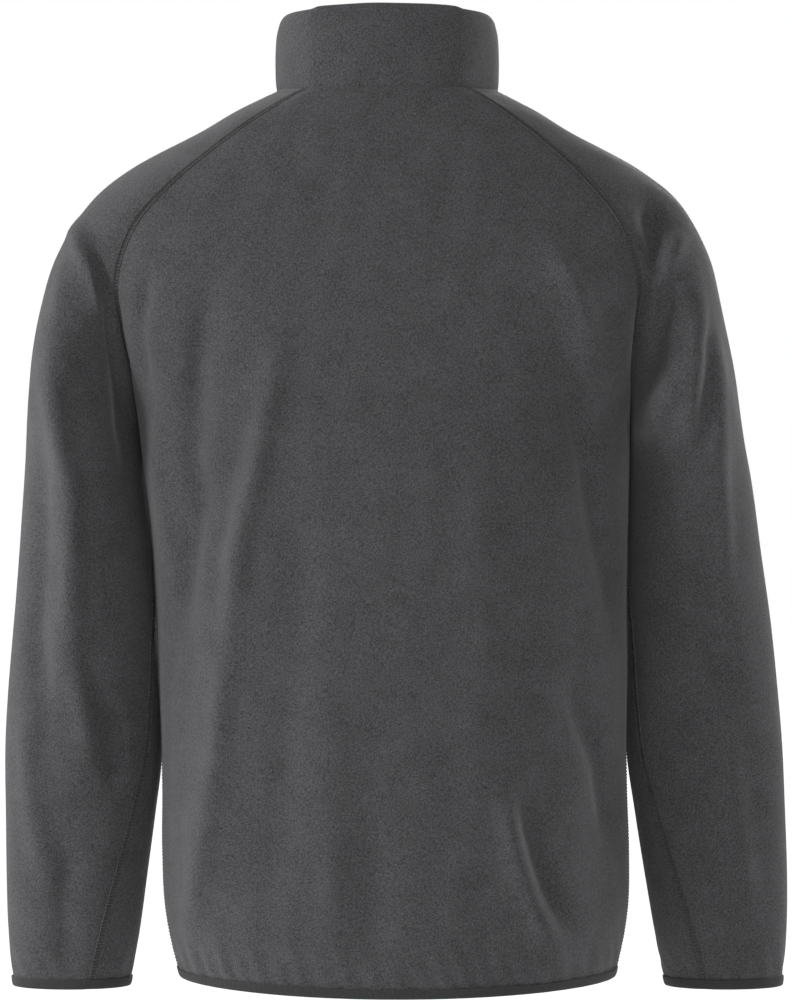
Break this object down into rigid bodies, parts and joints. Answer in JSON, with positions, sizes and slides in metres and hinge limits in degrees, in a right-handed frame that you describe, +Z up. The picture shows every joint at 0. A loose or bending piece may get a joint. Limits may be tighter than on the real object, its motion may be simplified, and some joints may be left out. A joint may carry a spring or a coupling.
{
  "type": "microfleece pullover",
  "caption": "Hollow worn-form microfleece pullover with raglan sleeves, a folded stand collar and narrow elastic binding on hem and cuffs.",
  "frame": {"origin": "middle of the neck base, level with the neck side points, where neck and shoulders hold the garment", "axes": "+Z up; the wearer faces -Y, so the back faces +Y; the wearer's left is +X"},
  "size_m": [0.6134, 0.2398, 0.7617],
  "materials": {
    "fleece": "brushed microfleece knit, matte with a short nap",
    "elastic_binding": "smooth knitted elastic, slight sheen"
  },
  "bodies": {
    "root": {"back": "fleece", "front": "fleece", "sleeve_left": "fleece", "sleeve_right": "fleece", "collar": "fleece", "hem_binding": "elastic_binding", "cuff_binding_left": "elastic_binding", "cuff_binding_right": "elastic_binding"}
  },
  "joints": []
}
